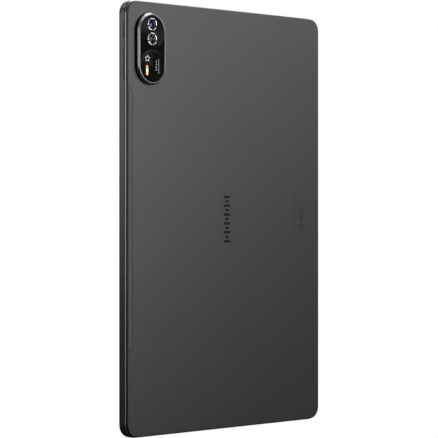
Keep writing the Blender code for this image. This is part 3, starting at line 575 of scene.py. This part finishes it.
def make_bezel():
    """The plastic ring between the casing and the glass, notched for the front camera."""
    run = [(1.6, -2.1), (5.0, -2.1), (5.0, -2.95), (0.92, -2.95), (0.92, -3.46), (0.86, -3.5)]
    run += [(0.42, -3.5)] + list(reversed(rounding(BEZEL_INSET, -3.24, 0.26, -1, 5)))
    run += [(BEZEL_INSET, -2.66), (0.21, -2.6), (1.6, -2.6)]
    rings = [upright(outline(SIDE - i, MIDDLE - i, max(CORNER - i, 3.0)), y) for i, y in run]
    bezel = loft("bezel_trim", rings, [BEZEL], closed=True)
    notch = [upright(outline(2.8, 2.8, 0.3), y, FRONT_CAMERA_X) for y in (-2.98, -2.0)]
    carve(bezel, loft("cut_notch", notch, [BEZEL]))
    return keep(bezel, "tablet", "black_plastic", "bezel_frame")


def make_front_glass():
    """The cover glass, with the front camera's ring and window on it."""
    run = [(1.3, -3.05), (GLASS_INSET, -3.15)] + rounding(GLASS_INSET, -3.4, 0.3, -1, 6)
    glass = loft("front_glass", [case_ring(*point) for point in run], [SCREEN])
    keep(glass, "tablet", "black_glass", "cover_glass")
    profile = [(1.75, FRONT + 0.02), (1.72, FRONT - 0.012), (1.5, FRONT - 0.016), (1.46, FRONT + 0.004)]
    rings = [upright(circle(r, 64), y, FRONT_CAMERA_X) for r, y in profile]
    ring = loft("front_camera_ring", rings, [BLACK], closed=True)
    keep(ring, "tablet", "black_plastic")
    profile = [(1.44, FRONT + 0.01), (1.38, FRONT - 0.004), (1.0, FRONT - 0.012), (0.5, FRONT - 0.018)]
    rings = [upright(circle(r, 64), y, FRONT_CAMERA_X) for r, y in profile]
    lens = loft("front_camera_cover", rings, [FRONT_LENS])
    keep(lens, "tablet", "clear_glass")


# ---------------------------------------------------------------- camera island


def stadium_ring(inset, level):
    """The island's outline, drawn in by inset, at a level of the thickness."""
    half_x, half_z = ISLAND_HALF[0] - inset, ISLAND_HALF[1] - inset
    return upright(outline(half_x, half_z, half_x, 40), level, ISLAND_X, ISLAND_Z)


def make_island():
    """Polished wall coloured near black as painted shade, broad bright slope round the top, and a black
    step down to the glass, a dark joint with painted shade on it.
    """
    wall, bright, black = 0, 1, 2
    run = [(wall, (0.12, 3.0)), (wall, (0.02, 3.65)), (wall, (0.0, 3.8)), (wall, (0.0, 5.12))]
    run += [(bright, (0.04, 5.2)), (bright, (0.5, 5.68)), (bright, (0.98, 6.15))]
    run += [(bright, (1.06, 6.22)), (bright, (1.15, 6.27)), (bright, (1.25, 6.295))]
    run += [(bright, (1.35, 6.29)), (bright, (1.43, 6.25)), (black, (1.49, 6.18))]
    run += [(black, (ISLAND_RIM, 5.9)), (black, (ISLAND_RIM, 5.35)), (black, (2.5, 5.35))]
    run.append((black, (2.5, 3.0)))
    rings = [stadium_ring(*point) for _, point in run]
    bands = [kind for kind, _ in run[1:]] + [black]
    frame_piece = loft("island_frame", rings, [ISLAND_WALL_SHADE, ISLAND_EDGE, GAP_AND_SHADE], bands, closed=True)
    keep(frame_piece, "tablet", "polished_metal", "camera_island_ring")
    inset, edge = ISLAND_RIM + 0.1, 0.2
    run = [(inset + 0.15, 5.45), (inset, 5.55)] + rounding(inset, GLASS_TOP - edge, edge, 1, 5)
    glass = loft("island_plate", [stadium_ring(*point) for point in run], [ISLAND_GLASS])
    through = (5.0, 7.0)
    cutters = []
    for z in LENS_Z.values():
        rings = [upright(circle(4.2), y, ISLAND_X, z) for y in through]
        cutters.append(loft("cut_lens", rings, [GAP_AND_SHADE]))
    slot = [upright(outline(1.0, 3.05, 1.0, 16), y, FLASH_X, FLASH_Z) for y in through]
    cutters.append(loft("cut_flash", slot, [GAP_AND_SHADE]))
    carve(glass, *cutters)
    keep(glass, "tablet", "black_glass", "camera_island_glass")


def make_disc_edges():
    """The two brushed discs' rims, as fine raised lines in the glass face, pale only along the arc
    where each rim catches light: a painted highlight.
    """
    arcs = (("upper", DISC_Z[0], -62.0, 48.0), ("lower", DISC_Z[1], 42.0, 172.0))
    for name, centre_z, start, end in arcs:
        steps = 72
        rings = []
        for step in range(steps + 1):
            angle = math.radians(start + (end - start) * step / steps)
            fade = math.sin(math.pi * step / steps) ** 0.5
            half_width = 0.008 + 0.05 * fade
            ring = []
            for side, level in ((-1, 0.0), (1, 0.0), (1, 0.006), (-1, 0.006)):
                reach = DISC_RADIUS + side * half_width
                ring.append((ISLAND_X - reach * math.cos(angle), GLASS_TOP - 0.002 + level,
                             centre_z + reach * math.sin(angle)))
            rings.append(ring)
        keep(loft(f"disc_edge_{name}", rings, [DISC_EDGE]), "tablet", "black_glass")


def lens_trim(name, z):
    """A bright turned ring whose sloping face is broken into five blades; the notches between the
    blades and the faces off the bead are coloured near black as painted shade.
    """
    steps, blades, depth = 240, 5, 0.2
    bore, outer, foot = 2.85, 4.1, 5.5
    bead, bead_half, bead_level, bead_rise = 3.42, 0.38, 6.03, 0.22
    profile = [(bore, 5.75), (2.95, 6.0)]
    for k in range(9):
        angle = math.pi * k / 8
        profile.append((bead - bead_half * math.cos(angle), bead_level + bead_rise * math.sin(angle)))
    profile += [(3.86, bead_level), (outer, 6.12), (outer, foot), (bore, foot)]
    rings = []
    for index, (radius, level) in enumerate(profile):
        ring = []
        for step in range(steps):
            angle = 2 * math.pi * step / steps
            phase = (angle * blades / (2 * math.pi) + 0.75) % 1.0
            notch = max(0.0, 1.0 - abs(phase - 0.5) / 0.12)
            sink = depth * min(1.0, notch * 1.8) if 3 <= index <= 9 else 0.0
            ring.append((ISLAND_X + radius * math.cos(angle), level - sink,
                         z + radius * math.sin(angle)))
        rings.append(ring)
    bm = bmesh.new()
    add_loft(bm, rings, closed=True)
    for face in bm.faces:
        centre = face.calc_center_median() / MM
        angle = math.atan2(centre.z - z, centre.x - ISLAND_X)
        phase = (angle * blades / (2 * math.pi) + 0.75) % 1.0
        reach = math.hypot(centre.x - ISLAND_X, centre.z - z)
        # Painted shade: notch faces and the faces inside and outside the bead take the near-black
        # material.
        if abs(phase - 0.5) < 0.11 or reach < 3.03 or reach > 3.8:
            face.material_index = 1
    return build(name, bm, [BRIGHT, GAP_AND_SHADE], 24.0)


def make_lenses():
    """The trims and clear covers, and each camera's stepped barrel with its element, whose coloured
    glint, blue for the main camera and rose for the second, is painted into its colour and made to
    glow.
    """
    for name, z in LENS_Z.items():
        keep(lens_trim(f"lens_trim_{name}", z), "tablet", "polished_metal", f"lens_ring_{name}")
        run = [(2.6, 5.45), (2.75, 5.55), (2.75, 5.92), (2.6, 6.0), (2.0, 6.03), (1.0, 6.05)]
        run.append((0.3, 6.055))
        rings = [upright(circle(r), y, ISLAND_X, z) for r, y in run]
        cover = loft(f"lens_cover_{name}", rings, [OPTIC])
        keep(cover, "tablet", "clear_glass", f"lens_window_{name}")
    cameras = (("main", "upper", "focus_barrel", 0.95, BLUE_GLINT_ELEMENT),
               ("second", "lower", "tablet", 0.6, ROSE_GLINT_ELEMENT))
    for camera, place, body, reach, coating in cameras:
        z = LENS_Z[place]
        run = [(2.75, 0.35), (2.8, 0.5), (2.8, 4.22), (2.72, 4.3), (2.2, 4.3), (2.2, 4.92)]
        run += [(2.1, 5.0), (1.95, 5.0)]
        level, step = 4.98, 0.06
        for radius in (1.85, 1.65, 1.45, 1.25):
            run += [(radius, level), (radius, level - 0.05), (radius - 0.06, level - step)]
            level -= step
        run += [(1.1, level)]
        rings = [upright(circle(r), y, ISLAND_X, z) for r, y in run]
        barrel = loft(f"{camera}_barrel_optics", rings, [BARREL])
        keep(barrel, body, "black_plastic", f"{camera}_camera_barrel")
        dome, rise = [(reach, level - 0.02)], 0.32
        for degrees in range(0, 85, 12):
            angle = math.radians(degrees)
            dome.append((reach * math.cos(angle), level + rise * math.sin(angle)))
        rings = [upright(circle(r, 64), y, ISLAND_X, z) for r, y in dome]
        element = loft(f"{camera}_lens_element", rings, [coating])
        keep(element, body, "clear_glass")


def make_flash():
    """The flash's pill-shaped window."""
    half_x, half_z = 0.9, 2.95

    def shape(inset):
        return outline(half_x - inset, half_z - inset, half_x - inset, 16)

    def place(points, level):
        return upright(points, level, FLASH_X, FLASH_Z)

    rings = pad(shape, 5.45, GLASS_TOP, 0.12, place)
    keep(loft("flash_cover", rings, [FLASH]), "tablet", "clear_glass", "flash_window")


# ---------------------------------------------------------------- keys, port and print


def make_key(name, z, length, nubs):
    """A key's cap with a fine cut edge, its flange, and the nubs behind it at their offsets."""
    half_width, top = 0.95, SIDE + 0.35

    def cap(inset):
        return outline(half_width - inset, length / 2 - inset, half_width - inset, 14)

    levels = [(0.0, SIDE - 2.0), (0.0, top - 0.16), (0.10, top - 0.03), (0.18, top)]
    solids = [[sideways(cap(inset), x, KEY_Y, z) for inset, x in levels]]

    def flange(inset):
        return outline(1.4 - inset, length / 2 + 0.8 - inset, 0.4 - inset, 6)

    def place(points, x):
        return sideways(points, x, KEY_Y, z)

    solids.append(pad(flange, SIDE - 2.4, SIDE - 1.9, 0.05, place))
    for offset in nubs:
        levels = [(0.12, SIDE - 3.0), (0.0, SIDE - 2.9), (0.0, SIDE - 2.3)]
        solids.append([
            sideways(outline(0.6 - i, 1.0 - i, 0.25 - i, 5), x, KEY_Y, z + offset) for i, x in levels
        ])
    keep(lofts(f"{name}_cap", solids, [BAND]), name, "grey_aluminium", name)


def make_port_contacts():
    """Twelve gilt contacts on each face of the port's tongue."""
    count, pitch, tongue_z, tongue_half = 12, 0.5, 3.4, 0.35
    steps = ((0.04, -0.01), (0.0, 0.0), (0.0, 0.02), (0.03, 0.03))
    solids = []
    for sign in (1, -1):
        for index in range(count):
            x = (index - (count - 1) / 2) * pitch
            rings = []
            for inset, rise in steps:
                section = outline(0.13 - inset, 1.7 - inset, 0.08 - inset / 2, 3)
                rings.append(upright(section, PORT_Y + sign * (tongue_half + rise), x, tongue_z))
            solids.append(rings)
    keep(lofts("port_contacts", solids, [GOLD]), "tablet", "tinned_steel")


def print_marks(name, marks, level, material, slot, height=0.012):
    """Small flat rounded marks: each is (x, z, half width, half height)."""
    solids = []
    for x, z, half_x, half_z in marks:
        radius = min(half_x, half_z) * 0.98
        levels = [(0.0, level - 0.01), (0.0, level + height * 0.7), (radius * 0.15, level + height)]
        solids.append([
            upright(outline(half_x - i, half_z - i, radius - i, 6), y, x, z) for i, y in levels
        ])
    return keep(lofts(name, solids, [material]), "tablet", slot)


def make_prints():
    """Plain marks where the object carries its maker's word, small print and symbols."""
    pitch, short, long = 2.72, 1.6, 3.0
    places = [MIDDLE + (index - 5) * pitch for index in range(11)]
    marks = [(0.8, z, short if index % 2 else long, 0.75) for index, z in enumerate(places)]
    print_marks("back_mark_bars", marks, BACK, DARK_PRINT, "black_plastic")
    marks = [(SIDE - 144.5, 112.2 + 1.5 * i, 0.22, 0.5) for i in range(23)]
    print_marks("fine_dashes", marks, BACK, FAINT_PRINT, "black_plastic", 0.006)
    heights = [z + shift for z in (133.6, 128.6, 123.6) for shift in (-1.3, 0.0, 1.3)]
    marks = [(SIDE - 151.2, z, 1.7, 0.22) for z in heights]
    print_marks("fine_bars", marks, BACK, FAINT_PRINT, "black_plastic", 0.006)
    centre_x, centre_z, radius, dots = SIDE - 14.0, 222.9, 1.35, []
    for i in range(5):
        angle = math.radians(90 + 72 * i)
        x, z = centre_x + radius * math.cos(angle), centre_z + radius * math.sin(angle)
        dots.append((x, z, 0.42, 0.42))
    # The island's white dots are print, made to glow as painted glow.
    print_marks("island_dots", dots, GLASS_TOP, PALE_PRINT_GLOW, "card_plastic")
    marks = [(SIDE - 21.1, 216.6 + 1.62 * i, 0.36, 0.56) for i in range(4)]
    marks += [(SIDE - 23.1, 214.9 + 1.25 * i, 0.26, 0.42) for i in range(7)]
    print_marks("island_dashes", marks, GLASS_TOP, GREY_PRINT, "card_plastic", 0.008)


def dress_cad_nodes():
    """Gives every CAD node that still shows its slot's material and a fine rounded edge."""
    slots = {part["node"]: part["material_slot"] for part in frame["record"]["subparts"]}
    for name, obj in nodes.items():
        obj.data.materials.clear()
        obj.data.materials.append(SLOT_LOOKS[slots[name]])
        if obj.hide_render:
            continue
        bevel = obj.modifiers.new("edge", "BEVEL")
        bevel.width = 0.05 * MM
        bevel.segments = 2
        bevel.limit_method = "ANGLE"
        bevel.angle_limit = math.radians(40)
        bevel.harden_normals = True


# ---------------------------------------------------------------- studio


def pale_floor():
    """A floor that looks evenly white and throws little light back on to the object."""
    made = Surface("pale_floor", (0.03, 0.03, 0.03), 0.9)
    white = made.node("ShaderNodeEmission")
    white.inputs["Color"].default_value = (1.0, 1.0, 1.0, 1.0)
    mix = made.node("ShaderNodeMixShader")
    made.link(made.node("ShaderNodeLightPath").outputs["Is Camera Ray"], mix.inputs["Fac"])
    made.link(made.shader.outputs[0], mix.inputs[1])
    made.link(white.outputs[0], mix.inputs[2])
    made.link(mix.outputs[0], made.tree.nodes["Material Output"].inputs["Surface"])
    return made.material


def make_studio():
    """The floor, and a room that is white to the camera and dimmer to the object."""
    bm = bmesh.new()
    bmesh.ops.create_grid(bm, x_segments=8, y_segments=8, size=30.0)
    floor = build("floor", bm, [pale_floor()])
    floor.location.z = -0.0002
    world = bpy.data.worlds.new("studio")
    bpy.context.scene.world = world
    world.use_nodes = True
    tree = world.node_tree
    background = tree.nodes["Background"]
    background.inputs["Strength"].default_value = 0.135
    direction = tree.nodes.new("ShaderNodeTexCoord")
    split = tree.nodes.new("ShaderNodeSeparateXYZ")
    tree.links.new(direction.outputs["Generated"], split.inputs[0])
    ramp = tree.nodes.new("ShaderNodeValToRGB")
    ramp.color_ramp.elements[0].position = 0.02
    ramp.color_ramp.elements[0].color = (0.16, 0.16, 0.165, 1.0)
    ramp.color_ramp.elements[1].position = 0.85
    ramp.color_ramp.elements[1].color = (1.1, 1.1, 1.12, 1.0)
    tree.links.new(split.outputs["Z"], ramp.inputs["Fac"])
    white = tree.nodes.new("ShaderNodeBackground")
    white.inputs["Color"].default_value = (1.0, 1.0, 1.0, 1.0)
    tree.links.new(ramp.outputs["Color"], background.inputs["Color"])
    rays = tree.nodes.new("ShaderNodeLightPath")
    mix = tree.nodes.new("ShaderNodeMixShader")
    tree.links.new(rays.outputs["Is Camera Ray"], mix.inputs["Fac"])
    tree.links.new(background.outputs[0], mix.inputs[1])
    tree.links.new(white.outputs[0], mix.inputs[2])
    tree.links.new(mix.outputs[0], tree.nodes["World Output"].inputs["Surface"])


def area_light(name, place, aim, size, power):
    """A light with its place and aim in millimetres, its size in metres and its power in watts."""
    light = bpy.data.lights.new(name, "AREA")
    light.shape = "RECTANGLE"
    light.size, light.size_y = size
    light.energy = power
    obj = bpy.data.objects.new(name, light)
    obj.location = Vector(place) * MM
    obj.rotation_mode = "QUATERNION"
    obj.rotation_quaternion = (Vector(aim) * MM - obj.location).to_track_quat("-Z", "Y")
    bpy.context.scene.collection.objects.link(obj)
    return obj


def make_lights():
    """Soft lights for the back, kept off the camera glass, and for the side band, edges and front."""
    back = (0, 0, 150)
    area_light("back_light_low", (-250, 900, 100), (0, 0, 130), (0.5, 0.5), 4.75)
    area_light("back_light_mid", (-480, 860, 330), back, (0.25, 0.25), 0.72)
    area_light("back_light_high", (-950, 850, 640), back, (0.35, 0.35), 2.45)
    area_light("back_light_far", (-1050, 850, 330), back, (0.35, 0.35), 0.42)
    area_light("band_light", (800, -850, 380), (SIDE, 0, 150), (0.6, 0.5), 1.7)
    area_light("edge_light", (1500, 1500, 420), (SIDE, 0, MIDDLE), (0.6, 1.2), 3.1)
    area_light("rim_light", (-350, 150, 1150), (ISLAND_X, BACK, ISLAND_Z), (0.9, 0.5), 4.5)
    area_light("tray_side_light", (-1200, -420, 520), (-SIDE, 0, MIDDLE), (0.8, 0.8), 6.0)
    area_light("front_light", (-900, -1300, 700), (0, 0, MIDDLE), (0.9, 0.9), 6.0)
    area_light("corner_light", (180, 620, 1100), (SIDE, 0, HEIGHT), (0.3, 0.3), 0.9)
    area_light("band_corner_light", (280, -650, 900), (SIDE, 0, HEIGHT), (0.35, 0.35), 1.2)


def make_camera():
    """A level view at mid-height, turned from the back towards the keys' edge."""
    camera = bpy.data.cameras.new("camera")
    camera.lens = 161.7
    camera.sensor_width = 36.0
    camera.clip_start, camera.clip_end = 0.02, 100.0
    obj = bpy.data.objects.new("camera", camera)
    obj.location = Vector((SIDE + 781.4, BACK + 842.2, MIDDLE)) * MM
    obj.rotation_mode = "QUATERNION"
    obj.rotation_quaternion = Vector((-0.7136, -0.7006, 0.0)).to_track_quat("-Z", "Y")
    bpy.context.scene.collection.objects.link(obj)
    bpy.context.scene.camera = obj


make_housing()
make_strip()
make_bezel()
make_front_glass()
make_island()
make_disc_edges()
make_lenses()
make_flash()
make_key("power_key", POWER_Z, POWER_LENGTH, (0.0,))
make_key("volume_key", VOLUME_Z, VOLUME_LENGTH, (-5.0, 5.0))
make_port_contacts()
make_prints()
dress_cad_nodes()
make_studio()
make_lights()
make_camera()
bpy.context.scene.view_settings.view_transform = "Standard"
